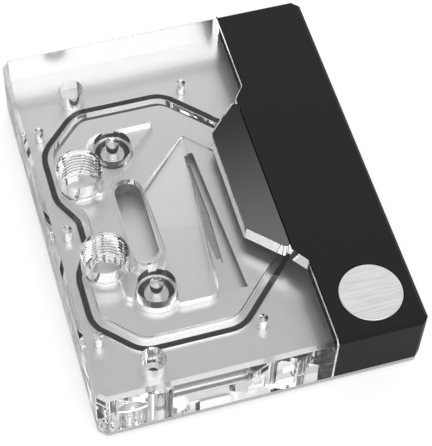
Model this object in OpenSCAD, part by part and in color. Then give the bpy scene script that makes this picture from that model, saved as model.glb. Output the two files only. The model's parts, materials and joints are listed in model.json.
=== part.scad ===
// Liquid cooling block for a processor: a nickel-plated cold plate, a clear top with two
// threaded ports, a side cover with a panel and a round badge, and the seals and screws
// that hold them together. The block stands on its contact face. Millimetres, +Z up,
// origin at the middle of the underside, the clear side towards -X.

/* [Block] */
// Width of the block from the clear side to the cover side
block_w = 88.8; // [84:0.2:100]
// Length of the block
block_l = 112.6; // [106:0.2:130]
// Height from the underside of the plate rim to the top
block_h = 19.9; // [18:0.1:26]
// Cut across each upright corner
corner_cut = 2; // [1:0.1:4]
// Bevel round the top edges
top_bevel = 1; // [0.4:0.1:1.6]

/* [Cold plate] */
// Thickness of the plate at its rim
plate_t = 1.6; // [1.4:0.1:3]
// Height of the contact face below the rim
contact_h = 1.4; // [0.8:0.1:3]
// Width of the contact face across the block
contact_w = 51; // [50:0.5:52]
// Length of the contact face along the block
contact_l = 40; // [36:0.5:41]
// Length of the fins
fin_l = 30; // [26:0.5:31]
// Width of the fin field
fin_field_w = 33; // [24:0.5:36]
// Depth of the channels between the fins
fin_h = 1.5; // [0.8:0.1:1.8]
// Distance from one fin to the next
fin_pitch = 0.5; // [0.4:0.05:1.5]
// Thickness of one fin
fin_t = 0.25; // [0.15:0.05:0.5]

/* [Flow plate] */
// Gap between the flow plate and the chamber wall
insert_gap = 0.35; // [0.2:0.05:0.6]
// Extra gap at the far end of the flow plate
insert_far_gap = 2.1; // [0.5:0.1:3]
// Floor left under the tapering channel
channel_floor_t = 0.8; // [0.5:0.1:1.2]
// Length of the jet slit
slit_l = 34; // [24:0.5:36]
// Width of the jet slit at its middle
slit_w = 2.9; // [2:0.1:4]
// Width of the return slot at each end of the fins
slot_w = 7.7; // [5:0.1:9]
// Length of the return slot
slot_l = 25.7; // [20:0.1:30]
// Distance of each return slot from the middle
slot_x = 19.5; // [18:0.1:20]
// Half width of the sunk field round the channel
field_half_w = 15.4; // [14:0.1:16]
// Depth of the sunk field
field_d = 0.5; // [0.2:0.1:1]

/* [Chamber] */
// Height of the chamber above the plate
chamber_h = 4.5; // [3.5:0.1:5.5]
// Distance of the chamber from the clear side of the block
chamber_side = 7.5; // [6.5:0.1:9]
// Distance of the chamber from the cover side of the block
chamber_cover_side = 11.4; // [10:0.1:14]
// Distance of the chamber from the far end of the block
chamber_far_end = 18.6; // [17:0.1:21]
// Distance of the chamber from the near end of the block
chamber_near_end = 19.2; // [17:0.1:21]
// Radius of the chamber corners
chamber_r = 6; // [3:0.1:7]
// Depth of the inward bend beside the middle rim screw
bend_depth = 4.3; // [3:0.1:6]
// Land of clear material between the chamber and the seal
seal_land = 1.6; // [0.8:0.1:2]
// Width of the seals
seal_w = 1.5; // [1.2:0.1:2]
// Height of the seals as squeezed
seal_h = 1.2; // [0.8:0.1:1.6]
// Height of the pocket of the far port above the chamber
far_pocket_h = 2.8; // [2:0.1:4]
// Height of the pocket of the near port above the chamber
near_pocket_h = 4.2; // [2:0.1:5]

/* [Ports] */
// Distance between the two ports
port_pitch = 28; // [24:0.5:32]
// Distance of the ports from the clear side of the block
port_side = 12.5; // [11:0.1:15]
// Bore of the port, the minor diameter of its thread
port_bore = 11.45; // [10:0.05:12]
// Mouth of the port, the major diameter of its thread
port_mouth = 13.16; // [12.4:0.02:13.6]
// Depth of the threaded bore below the top
port_depth = 11; // [8:0.1:12]
// Diameter of the passage below the thread
port_passage = 11; // [8:0.1:11.4]

/* [Cover] */
// Distance of the seam between the clear top and the cover
seam_x = 19.7; // [18:0.1:22]
// Distance of the seam beside the panel
panel_seam_x = 16.5; // [15:0.1:18]
// Distance of the free edge of the panel
panel_x = 6.4; // [5:0.1:8]
// Half length of the panel where it meets the cover
panel_half_l = 26; // [24:0.2:28]
// Half length of the free edge of the panel
panel_tip_half_l = 16; // [12:0.2:18]
// Depth of the step in the clear top that takes the panel and cover
step_d = 7.8; // [6:0.1:9]
// Wall of the cover
cover_wall = 2.4; // [1.6:0.1:3]
// Gap between the cover and the clear top
cover_gap = 0.3; // [0.2:0.05:0.5]
// Diameter of the badge
badge_d = 17; // [12:0.2:20]
// Distance of the badge from the cover side of the block
badge_side = 12.2; // [11:0.1:14]
// Distance of the badge from the near end of the block
badge_end = 12.3; // [11:0.1:16]

/* [Fasteners] */
// Distance of the mounting posts from the sides of the block
mount_side = 17.4; // [16:0.1:19]
// Distance of the mounting posts from the ends of the block
mount_end = 11.3; // [10:0.1:13]
// Thread bore of each mounting post
mount_bore = 3.3; // [2.5:0.1:3.4]
// Outer diameter of each mounting post
post_d = 6.4; // [5:0.1:6.6]
// Diameter of the small screws
screw_d = 2.5; // [2:0.1:3]
// Length of the small screws above the plate
screw_l = 5.5; // [4:0.1:7]
// Diameter of the two middle screws
middle_screw_d = 3.5; // [3:0.1:4.4]
// Length of the middle screws above the plate
middle_screw_l = 8.6; // [6:0.1:9]
// Distance of the middle screws from the clear side of the block
middle_side = 24.1; // [22:0.1:26]
// Distance of the middle screws from the ends of the block
middle_end = 32.75; // [31:0.05:34]

/* [Hidden] */
$fn = 48;
eps = 0.01;
seat = 0.05;
play = 0.1;
beyond = 1;
plate_z = contact_h + plate_t;
top_z = contact_h + block_h;
clear_z = plate_z + seat;
step_z = top_z - step_d;
ceiling_z = plate_z + chamber_h;
insert_top_z = ceiling_z - 0.15;
half_w = block_w / 2;
half_l = block_l / 2;

port_x = half_w - port_side;
port_y = port_pitch / 2;
port_mouth_h = 1;
// Pocket corners, measured from the port above them
far_pocket_shape = [
    [-5.1, -2], [0.9, 6], [5.9, 13.5], [8.5, 14.7], [25.3, 14.7], [17.6, 7.3],
    [15.8, 3.3], [12.9, 1.6], [8, -3], [4.9, -5]];
near_pocket_shape = [
    [-4.1, 2], [2.6, -3], [3, -10.9], [4.3, -11.6], [9.5, -15.5], [15.4, -15.5], [16.4, -16.6], [24.9, -16.7],
    [26.5, -15.9], [27.5, -14], [28.9, 5], [31.4, 31.2], [32.1, 37.3], [16.5, 22.6], [17, 1],
    [16.4, -2], [14.4, -4], [11.9, -4.6], [8.9, -3.6], [5.9, -1], [3.9, 3]];
pocket_r = 0.6;
near_pocket_round_r = 7.35;
near_pocket_l = 54;
slot_pocket_w = 7.9;
slot_pocket_l = 28.8;
slot_pocket_x = 11.9;
slot_pocket_y = -2.3;
slot_pocket_h = 3.9;
slot_pocket_far_h = 1.9;
near_pocket_far_h = 0.9;

chamber_x0 = chamber_side - half_w;
chamber_x1 = half_w - chamber_cover_side;
chamber_far = half_l - chamber_far_end;
chamber_near = half_l - chamber_near_end;
far_corner_cut = 10.1;
near_corner_cut = 9.5;
wing_l = 14;
wing_far = chamber_far - 21.6;
wing_near = chamber_near - 20.6;
bend_far = 4.6;
bend_near = 5.6;
bend_run = 8;

middle_x = half_w - middle_side;
middle_y = half_l - middle_end;
middle_boss_r = 5.4;
middle_boss_gap = 0.4;
middle_seal_r = 3.4;
middle_seal_w = 1.55;

channel_far_y = 17.1;
channel_near_y = -29;
channel_far_w = 2.4;
channel_near_w = 7.7;
channel_near_x = -0.25;
field_far_y = 23.3;
field_near_y = -28;
slit_shape = [
    [-0.48, -0.53], [0, -0.53], [0.1, -0.26], [0.2, -0.07], [0.03, 0.41], [0, 0.465],
    [-0.14, 0.465], [-0.41, 0.235], [-0.69, -0.05], [-0.79, -0.21]];

head_h = 1;
head_over = 0.9;
drill_tip = 0.35;
blind_room = 1.2;
post_rise = 1.2;
mount_hole_h = 9;
mount_hole_d = 7;
rim_x = half_w - 5.5;
rim_corner_x = half_w - 14.4;
rim_corner_y = half_l - 22.3;
rim_end_x = 4.3;
rim_end_y = half_l - 16.1;
rim_screw_spots = [
    [-rim_x, rim_corner_y], [-rim_x, 0], [-rim_x, -rim_corner_y], [rim_end_x, rim_end_y], [rim_end_x, -rim_end_y],
    [rim_corner_x, rim_corner_y], [rim_corner_x, -rim_corner_y], [rim_x, 0]];
cover_screw_x = half_w - 7.4;
cover_screw_y = half_l - 30.3;
cover_screw_spots = [[cover_screw_x, cover_screw_y], [cover_screw_x, -cover_screw_y]];
boss_d = 6;

cover_top_t = 3.2;
cover_end_t = 4;
badge_x = half_w - badge_side;
badge_y = half_l - badge_end;
badge_t = 2;
badge_gap = 0.25;
badge_pad_t = 0.5;
badge_proud = 0.1;
panel_drop = 0.15;
panel_r = 1.2;
board_t = 1;
emitter_w = 3;
emitter_h = 1;
emitter_pitch = 11;
board_w = 5;
board_gap = 3.9;
board_l = block_l - 2 * (cover_wall + cover_end_t + board_gap);
board_x = seam_x + 5.3;

// Rectangle with its corners cut at 45 degrees
module cut_rectangle(w, l, c) {
    polygon([
        [c - w / 2, -l / 2], [w / 2 - c, -l / 2], [w / 2, c - l / 2], [w / 2, l / 2 - c],
        [w / 2 - c, l / 2], [c - w / 2, l / 2], [-w / 2, l / 2 - c], [-w / 2, c - l / 2]]);
}

// Block outline, with the bevel round the top made of two stacked cuts
module beveled_block(z0, z1) {
    difference() {
        translate([0, 0, z0])
            linear_extrude(z1 - z0)
                cut_rectangle(block_w, block_l, corner_cut);
        for (side = [-1, 1]) {
            translate([side * half_w, 0, z1])
                rotate([0, 45, 0])
                    cube([top_bevel * sqrt(2), block_l + 2, top_bevel * sqrt(2)], center = true);
            translate([0, side * half_l, z1])
                rotate([45, 0, 0])
                    cube([block_w + 2, top_bevel * sqrt(2), top_bevel * sqrt(2)], center = true);
        }
        for (sx = [-1, 1], sy = [-1, 1])
            translate([sx * (half_w - corner_cut / 2), sy * (half_l - corner_cut / 2), z1])
                rotate([0, 0, sx * sy * 45])
                    rotate([0, 45, 0])
                        cube([top_bevel * sqrt(2), 4 * corner_cut, top_bevel * sqrt(2)], center = true);
    }
}

// Everything on the cover side of the seam
module cover_side(d = 0) {
    polygon([
        [block_w, -block_l], [block_w, block_l], [seam_x + d, block_l],
        [seam_x + d, panel_half_l + seam_x - panel_seam_x + 1],
        [panel_seam_x + d, panel_half_l],
        [panel_seam_x + d, -panel_half_l],
        [seam_x + d, -panel_half_l - seam_x + panel_seam_x - 1],
        [seam_x + d, -block_l]]);
}

// Panel outline between its free edge and the cover
module panel_shape(grow = 0) {
    offset(r = panel_r + grow)
        offset(r = -panel_r)
            polygon([
                [panel_seam_x, panel_half_l], [panel_x, panel_tip_half_l],
                [panel_x, -panel_tip_half_l], [panel_seam_x, -panel_half_l]]);
}

// Outline of the coolant chamber, grown by d for the seal that runs round it
module chamber_outline(d = 0) {
    wing_x = chamber_x1 - wing_l;
    far_x = wing_x + wing_far - chamber_far;
    near_x = wing_x + wing_near - chamber_near;
    bend_x = chamber_x0 + bend_depth;
    offset(r = chamber_r + d)
        offset(r = -2 * chamber_r)
            offset(r = chamber_r)
                polygon([
                    [chamber_x0 + far_corner_cut, chamber_far], [far_x, chamber_far],
                    [wing_x, wing_far], [chamber_x1, wing_far],
                    [chamber_x1, -wing_near], [wing_x, -wing_near],
                    [near_x, -chamber_near], [chamber_x0 + near_corner_cut, -chamber_near],
                    [chamber_x0, near_corner_cut - chamber_near], [chamber_x0, -bend_near - bend_run],
                    [bend_x, -bend_near], [bend_x, bend_far],
                    [chamber_x0, bend_far + bend_run], [chamber_x0, chamber_far - far_corner_cut]]);
}

module seal_loop(room, h) {
    linear_extrude(h)
        difference() {
            chamber_outline(seal_land + seal_w + room);
            chamber_outline(seal_land - room);
        }
}

module at_posts() {
    for (i = [0:3])
        at_post(i)
            children();
}

module at_post(i) {
    translate([(i % 2 - 0.5) * (block_w - 2 * mount_side), (floor(i / 2) - 0.5) * (block_l - 2 * mount_end), 0])
        children();
}

module obround(w, l) {
    for (s = [-1, 1])
        translate([0, s * (l - w) / 2])
            circle(d = w);
    square([w, l - w], center = true);
}

// Jet slit, a slim lens that leans a little
module slit_outline() {
    polygon([for (p = slit_shape) [p[0] * slit_w, p[1] * slit_l]]);
}

module cold_plate() {
    fins = floor((fin_field_w - fin_t) / fin_pitch);
    recess_w = 2 * slot_x + slot_w;
    recess_l = max(recess_w - fin_l, slot_w) / 2;
    color([0.78, 0.78, 0.76])
        difference() {
            union() {
                translate([0, 0, contact_h])
                    linear_extrude(plate_t)
                        cut_rectangle(block_w, block_l, corner_cut);
                linear_extrude(contact_h + eps)
                    cut_rectangle(contact_w, contact_l, 2);
            }
            for (s = [-1, 1])
                translate([s * (fin_l + recess_l) / 2, 0, plate_z - fin_h / 2 + eps])
                    cube([recess_l, fin_field_w, fin_h + 2 * eps], center = true);
            for (i = [0:fins - 1])
                translate([0, (i - (fins - 1) / 2) * fin_pitch, plate_z - fin_h / 2 + eps])
                    cube([fin_l + 2 * eps, fin_pitch - fin_t, fin_h + 2 * eps], center = true);
            for (p = concat(rim_screw_spots, cover_screw_spots))
                translate([p[0], p[1], -eps])
                    screw_hole(screw_d, contact_h);
            for (s = [-1, 1])
                at_middle(s)
                    translate([0, 0, -eps])
                        screw_hole(middle_screw_d, contact_h);
            at_posts()
                translate([0, 0, -eps])
                    cylinder(d = post_d, h = plate_z + beyond);
        }
}

// Hole through the plate with room for a flat head below
module screw_hole(d, z0) {
    cylinder(d = d + 2 * play, h = plate_z + beyond);
    translate([0, 0, z0 - beyond])
        cylinder(d = d + 2 * head_over + 2 * play, h = beyond + head_h + eps);
}

// Middle screw positions; s is 1 for the far one and -1 for the near one
module at_middle(s) {
    translate([-middle_x, s * middle_y, 0])
        children();
}

// Channel that widens from the jet slit towards the near end
module channel_outline() {
    polygon([
        [-channel_far_w / 2, channel_far_y], [channel_far_w / 2, channel_far_y],
        [channel_near_x + channel_near_w / 2, channel_near_y], [channel_near_x - channel_near_w / 2, channel_near_y]]);
}

// Sunk field round the channel, pointed at its far end
module field_outline() {
    polygon([
        [-field_half_w, field_near_y], [field_half_w, field_near_y], [field_half_w, field_far_y - field_half_w],
        [0, field_far_y], [-field_half_w, field_far_y - field_half_w]]);
}

module flow_plate() {
    color([0.8, 0.8, 0.78])
        difference() {
            translate([0, 0, clear_z])
                linear_extrude(insert_top_z - clear_z)
                    difference() {
                        intersection() {
                            chamber_outline(-insert_gap);
                            translate([0, -insert_far_gap])
                                chamber_outline(-insert_gap);
                        }
                        slit_outline();
                        for (s = [-1, 1])
                            translate([s * slot_x, 0])
                                obround(slot_w, slot_l);
                    }
            translate([0, 0, plate_z + channel_floor_t])
                linear_extrude(chamber_h)
                    channel_outline();
            translate([0, 0, insert_top_z - field_d])
                linear_extrude(chamber_h)
                    field_outline();
            for (s = [-1, 1])
                at_middle(s)
                    cylinder(r = middle_boss_r + middle_boss_gap, h = ceiling_z);
        }
}

// Keeps what lies under a ceiling that slopes from height h0 at y0 to height h1 at y1
module under_slope(y0, h0, y1, h1) {
    intersection() {
        children();
        translate([0, y0, h0])
            rotate([atan((h1 - h0) / (y1 - y0)), 0, 0])
                translate([-block_w, -block_l, -block_h])
                    cube([2 * block_w, 2 * block_l, block_h]);
    }
}

module pocket_outline() {
    offset(r = pocket_r)
        offset(r = -pocket_r)
            children();
}

// Pocket from the far port round the far middle screw
module far_pocket() {
    linear_extrude(far_pocket_h)
        pocket_outline()
            polygon(far_pocket_shape);
}

// Pocket over the return slot beside the ports; its ceiling falls towards the far end
module slot_pocket() {
    y0 = slot_pocket_y - slot_pocket_l / 2;
    under_slope(y0, slot_pocket_h, y0 + slot_pocket_l, slot_pocket_far_h)
        linear_extrude(2 * slot_pocket_h)
            translate([slot_pocket_x, slot_pocket_y])
                obround(slot_pocket_w, slot_pocket_l);
}

// Pocket from the near port round the near middle screw to the far end of the channel; its ceiling falls with it
module near_pocket() {
    x = port_x - middle_x;
    y = port_y - middle_y;
    under_slope(y - near_pocket_round_r, near_pocket_h, y - near_pocket_round_r + near_pocket_l, near_pocket_far_h)
        linear_extrude(2 * near_pocket_h)
            pocket_outline() {
                polygon(near_pocket_shape);
                translate([x, y])
                    intersection() {
                        circle(r = near_pocket_round_r);
                        translate([-near_pocket_round_r, -2 * near_pocket_round_r])
                            square(2 * near_pocket_round_r);
                    }
            }
}

module pockets() {
    translate([-port_x, port_y, ceiling_z - eps])
        far_pocket();
    translate([-port_x, 0, ceiling_z - eps])
        slot_pocket();
    translate([-port_x, -port_y, ceiling_z - eps])
        near_pocket();
}

// Threaded hole from below with a pointed end, as a drill leaves it
module blind_hole(d, h) {
    translate([0, 0, clear_z - beyond])
        cylinder(d = d, h = h + beyond);
    translate([0, 0, clear_z + h - eps])
        cylinder(d1 = d, d2 = 0, h = d * drill_tip);
}

module clear_top() {
    color([0.9, 0.93, 0.95, 0.35])
        difference() {
            beveled_block(clear_z, top_z);
            // Skirts of the cover at the ends and the cover side
            difference() {
                translate([0, 0, clear_z - beyond])
                    linear_extrude(top_z)
                        cover_side(-cover_gap);
                translate([0, 0, clear_z - 2 * beyond])
                    linear_extrude(step_z - clear_z + 2 * beyond)
                        translate([-half_w, -half_l + cover_wall + cover_gap])
                            square([block_w - cover_wall - cover_gap, block_l - 2 * (cover_wall + cover_gap)]);
            }
            // Step that takes the panel
            translate([0, 0, step_z])
                linear_extrude(step_d + beyond)
                    panel_shape(cover_gap);
            // Chamber and pockets, which the middle bosses stand through
            difference() {
                union() {
                    translate([0, 0, clear_z - beyond])
                        linear_extrude(ceiling_z - clear_z + beyond)
                            chamber_outline();
                    pockets();
                }
                for (s = [-1, 1])
                    at_middle(s)
                        translate([0, 0, clear_z])
                            cylinder(r = middle_boss_r, h = block_h);
            }
            translate([0, 0, clear_z - beyond])
                seal_loop(play, seal_h + beyond);
            for (s = [-1, 1])
                at_middle(s) {
                    translate([0, 0, clear_z - beyond])
                        middle_ring(play, seal_h + beyond);
                    blind_hole(middle_screw_d + play, middle_screw_l + blind_room);
                }
            for (s = [-1, 1])
                translate([-port_x, s * port_y, 0]) {
                    translate([0, 0, ceiling_z - eps])
                        cylinder(d = port_passage, h = block_h);
                    translate([0, 0, top_z - port_depth])
                        cylinder(d = port_bore, h = port_depth + beyond);
                    translate([0, 0, top_z - port_mouth_h])
                        cylinder(d1 = port_bore, d2 = port_mouth, h = port_mouth_h + eps);
                }
            at_posts()
                translate([0, 0, clear_z - beyond])
                    cylinder(d = mount_hole_d, h = mount_hole_h + beyond);
            for (p = rim_screw_spots)
                translate(p)
                    blind_hole(screw_d + play, screw_l + blind_room);
            for (p = cover_screw_spots)
                translate([p[0], p[1], clear_z - beyond])
                    cylinder(d = screw_d + 2 * play, h = step_z);
        }
}

module main_seal() {
    color([0.06, 0.06, 0.06])
        translate([0, 0, plate_z])
            seal_loop(0, seal_h);
}

module middle_ring(room, h) {
    difference() {
        cylinder(r = middle_seal_r + middle_seal_w + room, h = h);
        translate([0, 0, -beyond])
            cylinder(r = middle_seal_r - room, h = h + 2 * beyond);
    }
}

module middle_seal() {
    color([0.06, 0.06, 0.06])
        translate([0, 0, plate_z])
            middle_ring(0, seal_h);
}

module side_cover() {
    room_l = block_l - 2 * (cover_wall + cover_end_t);
    color([0.08, 0.08, 0.08])
        difference() {
            intersection() {
                beveled_block(plate_z + seat, top_z);
                linear_extrude(2 * top_z)
                    cover_side(0);
            }
            // Room for the clear top below and for the lights above it
            translate([0, 0, -1])
                linear_extrude(step_z + seat + 1)
                    translate([-half_w, -half_l + cover_wall])
                        square([block_w - cover_wall, block_l - 2 * cover_wall]);
            difference() {
                translate([seam_x + cover_wall, -room_l / 2, step_z - 1])
                    cube([half_w - seam_x - 2 * cover_wall, room_l, step_d - cover_top_t + 1]);
                for (p = cover_screw_spots)
                    translate([p[0], p[1], step_z - 2])
                        cylinder(d = boss_d, h = step_d);
            }
            for (p = cover_screw_spots)
                translate([p[0], p[1], step_z - 1])
                    cylinder(d = screw_d, h = step_d - cover_top_t + 1.5);
            translate([badge_x, -badge_y, top_z - badge_t])
                cylinder(d = badge_d + 2 * badge_gap, h = badge_t + 1);
        }
}

module cover_panel() {
    color([0.05, 0.05, 0.06])
        translate([0, 0, step_z + seat])
            linear_extrude(step_d - seat - panel_drop)
                intersection() {
                    panel_shape(0);
                    translate([-block_w + panel_seam_x - cover_gap, -block_l])
                        square([block_w, 2 * block_l]);
                }
}

module badge() {
    color([0.8, 0.8, 0.8])
        translate([badge_x, -badge_y, top_z - badge_t + badge_pad_t]) {
            cylinder(d = badge_d, h = badge_t - badge_pad_t + badge_proud - 0.2);
            cylinder(d1 = badge_d, d2 = badge_d - 0.4, h = badge_t - badge_pad_t + badge_proud);
        }
}

module badge_pad() {
    color([0.2, 0.2, 0.2])
        translate([badge_x, -badge_y, top_z - badge_t])
            cylinder(d = badge_d - 2, h = badge_pad_t);
}

module light_board() {
    color([0.1, 0.1, 0.1])
        translate([board_x - board_w / 2, -board_l / 2, step_z + 2 * seat + emitter_h])
            cube([board_w, board_l, board_t]);
}

// Light emitters under the board, facing the clear top
module light_emitters() {
    count = floor((board_l - emitter_w) / emitter_pitch) + 1;
    color([0.95, 0.95, 0.85])
        for (i = [0:count - 1])
            translate([board_x, (i - (count - 1) / 2) * emitter_pitch, step_z + 2 * seat + emitter_h / 2])
                cube([emitter_w, emitter_w, emitter_h], center = true);
}

// Flat-headed screw from below; l is its length above the plate
module screw(d, l) {
    tip = d / 8;
    z0 = contact_h + play;
    difference() {
        union() {
            translate([0, 0, z0])
                cylinder(d = d + 2 * head_over, h = head_h - 2 * play);
            translate([0, 0, z0])
                cylinder(d = d, h = plate_z - z0 + l - tip);
            translate([0, 0, plate_z + l - tip])
                cylinder(d1 = d, d2 = d - 2 * tip, h = tip);
        }
        translate([0, 0, z0 - eps])
            cylinder(d = d * 0.65, h = head_h * 0.9, $fn = 6);
    }
}

module rim_screws() {
    color([0.75, 0.75, 0.75])
        for (p = rim_screw_spots)
            translate([p[0], p[1], 0])
                screw(screw_d, screw_l);
}

module cover_screws() {
    color([0.75, 0.75, 0.75])
        for (p = cover_screw_spots)
            translate([p[0], p[1], 0])
                screw(screw_d - 0.1, step_z - plate_z + step_d - cover_top_t - 0.5);
}

module middle_screw() {
    color([0.75, 0.75, 0.75])
        screw(middle_screw_d, middle_screw_l);
}

// Threaded bush pressed into the plate, which takes a mounting screw from below
module post() {
    color([0.75, 0.75, 0.75])
        translate([0, 0, contact_h])
            difference() {
                cylinder(d = post_d, h = plate_t + post_rise);
                translate([0, 0, -1])
                    cylinder(d = mount_bore, h = plate_t + post_rise + 2);
            }
}

cold_plate();
flow_plate();
clear_top();
main_seal();
side_cover();
cover_panel();
badge();
badge_pad();
light_board();
light_emitters();
rim_screws();
cover_screws();
at_middle(1) middle_screw();  // middle_screw_far
at_middle(-1) middle_screw();  // middle_screw_near
at_middle(1) middle_seal();  // middle_seal_far
at_middle(-1) middle_seal();  // middle_seal_near
at_post(0) post();  // post_1
at_post(1) post();  // post_2
at_post(2) post();  // post_3
at_post(3) post();  // post_4
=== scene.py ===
import json
import math

import bpy
from mathutils import Matrix, Vector


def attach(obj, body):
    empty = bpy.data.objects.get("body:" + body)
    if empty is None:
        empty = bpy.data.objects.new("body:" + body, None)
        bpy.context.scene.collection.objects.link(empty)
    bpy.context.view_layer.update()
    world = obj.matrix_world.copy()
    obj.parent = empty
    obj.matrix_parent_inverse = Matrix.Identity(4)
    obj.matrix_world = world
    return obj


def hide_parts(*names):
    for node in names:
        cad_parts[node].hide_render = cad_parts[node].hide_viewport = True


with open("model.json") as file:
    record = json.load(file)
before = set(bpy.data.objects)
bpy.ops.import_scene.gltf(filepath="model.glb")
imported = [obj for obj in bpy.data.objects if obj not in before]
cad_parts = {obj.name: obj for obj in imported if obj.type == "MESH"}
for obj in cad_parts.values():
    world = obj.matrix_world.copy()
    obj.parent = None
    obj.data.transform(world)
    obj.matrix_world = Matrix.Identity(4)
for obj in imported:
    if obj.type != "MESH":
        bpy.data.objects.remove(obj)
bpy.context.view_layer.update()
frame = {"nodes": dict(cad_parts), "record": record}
nodes = frame["nodes"]

MM = 0.001
RIM_UNDERSIDE = 1.4 * MM

# Camera, fitted to the block's own edges in the photograph
CAMERA_AZIMUTH = math.radians(-19.2347)
CAMERA_ELEVATION = math.radians(56.8775)
CAMERA_DISTANCE = 456.177 * MM
CAMERA_ROLL = math.radians(-3.4177)
CAMERA_TARGET = Vector((1.2566 * MM, -6.6174 * MM, 10 * MM + RIM_UNDERSIDE))
CAMERA_LENS = 134.08


def make_camera():
    """The camera looks from the near left and from above, as the photograph does."""
    back = Vector((
        math.sin(CAMERA_AZIMUTH) * math.cos(CAMERA_ELEVATION),
        -math.cos(CAMERA_AZIMUTH) * math.cos(CAMERA_ELEVATION),
        math.sin(CAMERA_ELEVATION)))
    level_right = (-back).cross(Vector((0, 0, 1))).normalized()
    level_down = (-back).cross(level_right)
    right = math.cos(CAMERA_ROLL) * level_right + math.sin(CAMERA_ROLL) * level_down
    up = math.sin(CAMERA_ROLL) * level_right - math.cos(CAMERA_ROLL) * level_down
    data = bpy.data.cameras.new("camera")
    data.sensor_width = 36
    data.lens = CAMERA_LENS
    data.clip_start = 0.01
    camera = bpy.data.objects.new("camera", data)
    bpy.context.scene.collection.objects.link(camera)
    rotation = Matrix((right, up, back)).transposed()
    camera.matrix_world = Matrix.Translation(CAMERA_TARGET + back * CAMERA_DISTANCE) @ rotation.to_4x4()
    bpy.context.scene.camera = camera
    return camera


def new_material(name):
    """An empty material with its Principled shader, as (material, nodes, links, shader)."""
    material = bpy.data.materials.new(name)
    material.use_nodes = True
    tree = material.node_tree
    shader = next(n for n in tree.nodes if n.type == "BSDF_PRINCIPLED")
    return material, tree.nodes, tree.links, shader


def clear_acrylic():
    material, _, _, shader = new_material("clear_acrylic")
    shader.inputs["Base Color"].default_value = (1, 1, 1, 1)
    shader.inputs["Roughness"].default_value = 0
    shader.inputs["IOR"].default_value = 1.49
    shader.inputs["Transmission Weight"].default_value = 1
    return material


def plain(name, colour, roughness, metallic=0.0, specular=0.5):
    material, _, _, shader = new_material(name)
    shader.inputs["Base Color"].default_value = (*colour, 1)
    shader.inputs["Roughness"].default_value = roughness
    shader.inputs["Metallic"].default_value = metallic
    shader.inputs["Specular IOR Level"].default_value = specular
    return material


def dress(node, material):
    slots = nodes[node].data.materials
    if not slots:
        slots.append(material)
    for i in range(len(slots)):
        slots[i] = material


make_camera()


def upright_group():
    """Shared mask: Upright is 1 on faces that stand upright in the object's own space. It places painted shade and
    painted highlights.
    """
    tree = bpy.data.node_groups.new("upright_faces", "ShaderNodeTree")
    tree.interface.new_socket("Upright", in_out="OUTPUT", socket_type="NodeSocketFloat")
    result = tree.nodes.new("NodeGroupOutput")
    coords = tree.nodes.new("ShaderNodeTexCoord")
    split = tree.nodes.new("ShaderNodeSeparateXYZ")
    size = tree.nodes.new("ShaderNodeMath")
    size.operation = "ABSOLUTE"
    less = tree.nodes.new("ShaderNodeMath")
    less.operation = "LESS_THAN"
    less.inputs[1].default_value = 0.5
    tree.links.new(coords.outputs["Normal"], split.inputs[0])
    tree.links.new(split.outputs["Z"], size.inputs[0])
    tree.links.new(size.outputs[0], less.inputs[0])
    tree.links.new(less.outputs[0], result.inputs["Upright"])
    return tree


UPRIGHT = upright_group()


def upright_mask(material):
    group = material.node_tree.nodes.new("ShaderNodeGroup")
    group.node_tree = UPRIGHT
    return group.outputs["Upright"]


def painted_shade_wall_mask(material):
    """1 on the upright walls of the inner slots and 0 elsewhere, in the object's own space, to place painted shade
    there.
    """
    nodes_, links = material.node_tree.nodes, material.node_tree.links

    def math_node(operation, first, second):
        node = nodes_.new("ShaderNodeMath")
        node.operation = operation
        for socket, value in zip(node.inputs, (first, second)):
            if isinstance(value, (int, float)):
                socket.default_value = value
            else:
                links.new(value, socket)
        return node.outputs[0]

    coords = nodes_.new("ShaderNodeTexCoord")
    place = nodes_.new("ShaderNodeSeparateXYZ")
    links.new(coords.outputs["Object"], place.inputs[0])
    inner_x = math_node("LESS_THAN", math_node("ABSOLUTE", place.outputs["X"], 0), 24 * MM)
    far_side = math_node("LESS_THAN", place.outputs["Y"], 17.3 * MM)
    near_side = math_node("GREATER_THAN", place.outputs["Y"], -17.5 * MM)
    channel = math_node("GREATER_THAN", place.outputs["X"], -6 * MM)
    reach = math_node("MULTIPLY", channel, math_node("GREATER_THAN", place.outputs["Y"], -30 * MM))
    along = math_node("MULTIPLY", far_side, math_node("MAXIMUM", near_side, reach))
    return math_node("MULTIPLY", upright_mask(material), math_node("MULTIPLY", inner_x, along))


def painted_light_mix(material, shader, mask, level, wall):
    """Base colour that goes from level to wall with the mask, painting light and shade into the colour."""
    mix = material.node_tree.nodes.new("ShaderNodeMix")
    mix.data_type = "RGBA"
    mix.inputs["A"].default_value = (*level, 1)
    mix.inputs["B"].default_value = (*wall, 1)
    material.node_tree.links.new(mask, mix.inputs["Factor"])
    material.node_tree.links.new(mix.outputs["Result"], shader.inputs["Base Color"])


def nickel_painted_wall_shade():
    """Nickel with painted shade: its upright slot walls are coloured far darker than its level faces."""
    material, nodes_, links, shader = new_material("nickel_painted_wall_shade")
    shader.inputs["Metallic"].default_value = 1
    shader.inputs["Roughness"].default_value = NICKEL_ROUGHNESS
    painted_light_mix(material, shader, painted_shade_wall_mask(material), NICKEL, (0.09, 0.09, 0.09))
    return material


def steel_painted_tip_highlight():
    """Steel screws whose upright shafts carry painted shade and whose other faces, such as the tips, carry a painted
    highlight.
    """
    material, nodes_, links, shader = new_material("screw_steel")
    shader.inputs["Metallic"].default_value = 1
    shader.inputs["Roughness"].default_value = 0.35
    painted_light_mix(material, shader, upright_mask(material), (0.85, 0.85, 0.84), (0.2, 0.2, 0.2))
    return material


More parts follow.
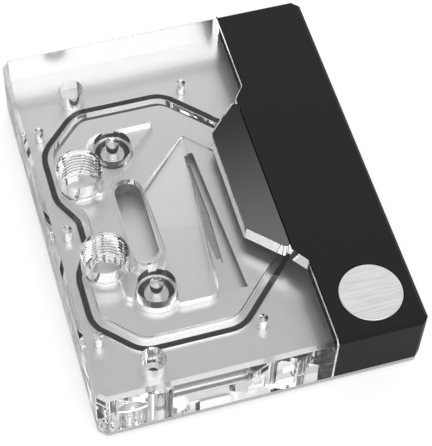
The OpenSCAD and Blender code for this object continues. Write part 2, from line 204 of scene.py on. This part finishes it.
def grain_group():
    """Shared noise effect: Shade runs from 1 - Uneven to 1, and Normal carries the fine relief."""
    tree = bpy.data.node_groups.new("surface_grain", "ShaderNodeTree")
    face = tree.interface
    face.new_socket("Stretch", in_out="INPUT", socket_type="NodeSocketVector")
    for name in ("Scale", "Strength", "Distance", "Uneven"):
        face.new_socket(name, in_out="INPUT", socket_type="NodeSocketFloat")
    face.new_socket("Shade", in_out="OUTPUT", socket_type="NodeSocketFloat")
    face.new_socket("Normal", in_out="OUTPUT", socket_type="NodeSocketVector")
    given, result = tree.nodes.new("NodeGroupInput"), tree.nodes.new("NodeGroupOutput")
    coords = tree.nodes.new("ShaderNodeTexCoord")
    stretched = tree.nodes.new("ShaderNodeVectorMath")
    stretched.operation = "MULTIPLY"
    noise = tree.nodes.new("ShaderNodeTexNoise")
    noise.inputs["Detail"].default_value = 3
    bump = tree.nodes.new("ShaderNodeBump")
    lowest = tree.nodes.new("ShaderNodeMath")
    lowest.operation = "SUBTRACT"
    lowest.inputs[0].default_value = 1
    shade = tree.nodes.new("ShaderNodeMapRange")
    shade.inputs["From Min"].default_value = 0.3
    shade.inputs["From Max"].default_value = 0.7
    for start, end in (
            (coords.outputs["Object"], stretched.inputs[0]), (given.outputs["Stretch"], stretched.inputs[1]),
            (stretched.outputs[0], noise.inputs["Vector"]), (given.outputs["Scale"], noise.inputs["Scale"]),
            (noise.outputs["Fac"], bump.inputs["Height"]), (given.outputs["Strength"], bump.inputs["Strength"]),
            (given.outputs["Distance"], bump.inputs["Distance"]), (given.outputs["Uneven"], lowest.inputs[1]),
            (noise.outputs["Fac"], shade.inputs["Value"]), (lowest.outputs[0], shade.inputs["To Min"]),
            (shade.outputs["Result"], result.inputs["Shade"]), (bump.outputs["Normal"], result.inputs["Normal"])):
        tree.links.new(start, end)
    return tree


GRAIN = grain_group()


def grained(name, colour, roughness, metallic, scale, stretch, strength, distance, uneven):
    """Plain colour with fine noise in the surface, stretched along the axes."""
    material, nodes_, links, shader = new_material(name)
    shader.inputs["Roughness"].default_value = roughness
    shader.inputs["Metallic"].default_value = metallic
    shader.inputs["Specular IOR Level"].default_value = 0.25
    grain = nodes_.new("ShaderNodeGroup")
    grain.node_tree = GRAIN
    for socket, value in (
            ("Stretch", stretch), ("Scale", scale), ("Strength", strength), ("Distance", distance),
            ("Uneven", uneven)):
        grain.inputs[socket].default_value = value
    tint = nodes_.new("ShaderNodeMix")
    tint.data_type = "RGBA"
    tint.inputs["A"].default_value = (0, 0, 0, 1)
    tint.inputs["B"].default_value = (*colour, 1)
    links.new(grain.outputs["Shade"], tint.inputs["Factor"])
    links.new(grain.outputs["Normal"], shader.inputs["Normal"])
    links.new(tint.outputs["Result"], shader.inputs["Base Color"])
    return material


def gloss_painted_reflection(name, far, near, half_length):
    """Polished black with a painted reflection that makes it greyer towards the near end."""
    material, nodes_, links, shader = new_material(name)
    shader.inputs["Roughness"].default_value = 0.15
    coords = nodes_.new("ShaderNodeTexCoord")
    split = nodes_.new("ShaderNodeSeparateXYZ")
    ramp = nodes_.new("ShaderNodeMapRange")
    ramp.interpolation_type = "SMOOTHSTEP"
    ramp.inputs["From Min"].default_value = half_length
    ramp.inputs["From Max"].default_value = -half_length
    mix = nodes_.new("ShaderNodeMix")
    mix.data_type = "RGBA"
    mix.inputs["A"].default_value = (*far, 1)
    mix.inputs["B"].default_value = (*near, 1)
    links.new(coords.outputs["Object"], split.inputs[0])
    links.new(split.outputs["Y"], ramp.inputs["Value"])
    links.new(ramp.outputs["Result"], mix.inputs["Factor"])
    links.new(mix.outputs["Result"], shader.inputs["Base Color"])
    return material


NICKEL = (0.76, 0.76, 0.75)
NICKEL_ROUGHNESS = 0.4
nickel = plain("nickel_plate", NICKEL, NICKEL_ROUGHNESS, metallic=1)
# Nickel with painted shade on its upright slot walls
shaded_nickel = nickel_painted_wall_shade()
# Steel with painted shade on the shafts and a painted highlight on the tips
steel = steel_painted_tip_highlight()
badge_metal = grained("brushed_badge", (0.98, 0.98, 0.98), 0.32, 1, 2600, (0.05, 1, 1), 0.25, 0.00003, 0.22)
anodised = grained("black_anodised", (0.009, 0.009, 0.009), 0.5, 0, 3000, (1, 1, 1), 0.2, 0.00003, 0.25)
# The panel's black gloss carries a painted reflection, greyer towards the near end
gloss = gloss_painted_reflection("black_gloss", (0.006, 0.006, 0.006), (0.13, 0.13, 0.13), 0.026)
rubber = plain("black_rubber", (0.005, 0.005, 0.005), 0.6, specular=0)
board = plain("circuit_board", (0.03, 0.03, 0.03), 0.5)
lens = plain("emitter_lens", (0.85, 0.84, 0.75), 0.3)
tape = plain("adhesive_pad", (0.12, 0.12, 0.12), 0.8)
acrylic = clear_acrylic()

FINISHES = {
    "clear_acrylic": acrylic, "nickel_plate": nickel, "screw_steel": steel, "brushed_badge": badge_metal,
    "black_anodised": anodised, "black_gloss": gloss, "black_rubber": rubber, "circuit_board": board,
    "emitter_lens": lens, "adhesive_pad": tape}
for part in frame["record"]["subparts"]:
    dress(part["node"], FINISHES[part["material_slot"]])
# The flow plate gets the nickel with painted shade on its slot walls
dress("flow_plate", shaded_nickel)


def new_object(name, points, faces):
    data = bpy.data.meshes.new(name)
    data.from_pydata(points, [], faces)
    data.update()
    made = bpy.data.objects.new(name, data)
    bpy.context.scene.collection.objects.link(made)
    return made


PORT_CENTRES = [(-31.9, 14), (-31.9, -14)]
PORT_TOP = 21.3
THREAD_DEPTH = 10.7
THREAD_PITCH = 1.337
THREAD_ROOT_R = 6.5
BORE_R = 5.725
SEGMENTS = 64


def thread_cutter(x, y):
    """Helical groove of the port thread, as a closed solid that starts above the top."""
    turns = (THREAD_DEPTH + THREAD_PITCH) / THREAD_PITCH
    steps = int(turns * SEGMENTS)
    points, faces = [], []
    for i in range(steps + 1):
        angle = 2 * math.pi * i / SEGMENTS
        z = PORT_TOP + THREAD_PITCH - THREAD_PITCH * i / SEGMENTS
        fade = min(1, (steps - i) / (SEGMENTS / 2))
        root = BORE_R + (THREAD_ROOT_R - BORE_R) * fade
        for r, dz in ((BORE_R - 0.2, -0.46), (BORE_R - 0.2, 0.46), (root + 0.01, 0.07), (root + 0.01, -0.07)):
            points.append((
                (x + r * math.cos(angle)) * MM, (y + r * math.sin(angle)) * MM, (z + dz * THREAD_PITCH) * MM))
    for i in range(steps):
        for k in range(4):
            a, b = 4 * i + k, 4 * i + (k + 1) % 4
            faces.append((a, b, b + 4, a + 4))
    faces.append((3, 2, 1, 0))
    faces.append(tuple(4 * steps + k for k in range(4)))
    return new_object("thread_cutter", points, faces)


def box_mesh(name, low, high):
    """Box between two corners given in millimetres."""
    points = [(x * MM, y * MM, z * MM) for x in (low[0], high[0]) for y in (low[1], high[1]) for z in (low[2], high[2])]
    faces = [(0, 1, 3, 2), (4, 6, 7, 5), (0, 4, 5, 1), (2, 3, 7, 6), (0, 2, 6, 4), (1, 5, 7, 3)]
    return new_object(name, points, faces)


FOIL_SPANS = [(31, 52.7), (-54, -31)]


def threaded_top():
    """The clear top with the threads cut into its two ports and its curved faces smooth."""
    top = bpy.data.objects.new("clear_top_threaded", nodes["clear_top"].data.copy())
    top.matrix_world = nodes["clear_top"].matrix_world
    bpy.context.scene.collection.objects.link(top)
    cutters = [thread_cutter(x, y) for x, y in PORT_CENTRES]
    for cutter in cutters:
        cut = top.modifiers.new("thread", "BOOLEAN")
        cut.operation = "DIFFERENCE"
        cut.solver = "EXACT"
        cut.object = cutter
    depsgraph = bpy.context.evaluated_depsgraph_get()
    data = bpy.data.meshes.new_from_object(top.evaluated_get(depsgraph))
    top.modifiers.clear()
    top.data = data
    for cutter in cutters:
        bpy.data.objects.remove(cutter)
    data.attributes.remove(data.attributes["custom_normal"])
    data.shade_smooth()
    data.set_sharp_from_angle(angle=math.radians(28))
    data.materials.clear()
    data.materials.append(acrylic)
    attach(top, "root")
    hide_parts("clear_top")
    return top


threaded_top()


def box_piece(name, low, high, material):
    """Plain box between two corners given in millimetres."""
    piece = box_mesh(name, low, high)
    piece.data.materials.append(material)
    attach(piece, "root")
    return piece


# Black foil on the wall of the clear top behind the seam
for name, (y0, y1) in zip(("seam_foil_far", "seam_foil_near"), FOIL_SPANS):
    box_piece(name, (19.36, y0, 13.8), (19.6, y1, 18.8), rubber)


# Painted shade: a black strip fills the gap between the clear top and the cover, just under the top edge
for name, y0, y1 in (("painted_shade_gap_far", 30.5, 56.1), ("painted_shade_gap_near", -56.1, -30.5)):
    box_piece(name, (19.41, y0, 18.9), (19.69, y1, 21.2), rubber)


# Pale film on the step of the clear top, under the edge of the cover
box_piece("light_film", (19.75, -52, 13.505), (22.4, 52, 13.53), lens)


def floor_material():
    """Pale floor that is white where the camera looks at it unshaded, and keeps its shadow."""
    material, nodes_, links, shader = new_material("floor")
    shader.inputs["Base Color"].default_value = (0.85, 0.85, 0.85, 1)
    shader.inputs["Roughness"].default_value = 0.9
    path = nodes_.new("ShaderNodeLightPath")
    seen = nodes_.new("ShaderNodeMath")
    seen.operation = "MAXIMUM"
    strength = nodes_.new("ShaderNodeMath")
    strength.operation = "MULTIPLY"
    strength.inputs[1].default_value = FLOOR_LIFT
    links.new(path.outputs["Is Camera Ray"], seen.inputs[0])
    links.new(path.outputs["Is Transmission Ray"], seen.inputs[1])
    links.new(seen.outputs[0], strength.inputs[0])
    shader.inputs["Emission Color"].default_value = (1, 1, 1, 1)
    links.new(strength.outputs[0], shader.inputs["Emission Strength"])
    return material


FLOOR_LIFT = 0.39


def make_floor():
    side = 3.0
    floor = new_object("floor", [(-side, -side, 0), (side, -side, 0), (side, side, 0), (-side, side, 0)], [(0, 1, 2, 3)])
    floor.data.materials.append(floor_material())
    floor.location.z = -0.0002
    return floor


def area_light(name, location, aim, size, size_y, power):
    data = bpy.data.lights.new(name, "AREA")
    data.shape = "RECTANGLE"
    data.size = size
    data.size_y = size_y
    data.energy = power
    light = bpy.data.objects.new(name, data)
    bpy.context.scene.collection.objects.link(light)
    light.location = location
    direction = Vector(aim) - Vector(location)
    light.rotation_euler = direction.to_track_quat("-Z", "Y").to_euler()
    return light


make_floor()
area_light("far_softbox", (0.25, 1.27, 0.9), (0, 0, 0), 2.2, 0.62, 4.5)
area_light("near_softbox", (0, -0.85, 1.4), (0, 0, 0), 2.1, 1.3, 10.5)

# Sky that is darkest low down and grows smoothly towards the top
world = bpy.data.worlds.new("studio")
bpy.context.scene.world = world
world.use_nodes = True
wn, wl = world.node_tree.nodes, world.node_tree.links
background = next(n for n in wn if n.type == "BACKGROUND")
background.inputs["Color"].default_value = (1, 1, 1, 1)
coords = wn.new("ShaderNodeTexCoord")
split = wn.new("ShaderNodeSeparateXYZ")
height = wn.new("ShaderNodeMapRange")
height.interpolation_type = "SMOOTHSTEP"
height.inputs["From Min"].default_value = 0.1
height.inputs["From Max"].default_value = 0.85
height.inputs["To Min"].default_value = 0.25
height.inputs["To Max"].default_value = 0.72
path = wn.new("ShaderNodeLightPath")
mix = wn.new("ShaderNodeMix")
mix.inputs["B"].default_value = 1
wl.new(coords.outputs["Generated"], split.inputs[0])
wl.new(split.outputs["Z"], height.inputs["Value"])
wl.new(path.outputs["Is Camera Ray"], mix.inputs["Factor"])
wl.new(height.outputs["Result"], mix.inputs["A"])
wl.new(mix.outputs["Result"], background.inputs["Strength"])

bpy.context.scene.cycles.max_bounces = 32
bpy.context.scene.cycles.glossy_bounces = 24
bpy.context.scene.cycles.transmission_bounces = 24

bpy.context.scene.view_settings.view_transform = "Standard"
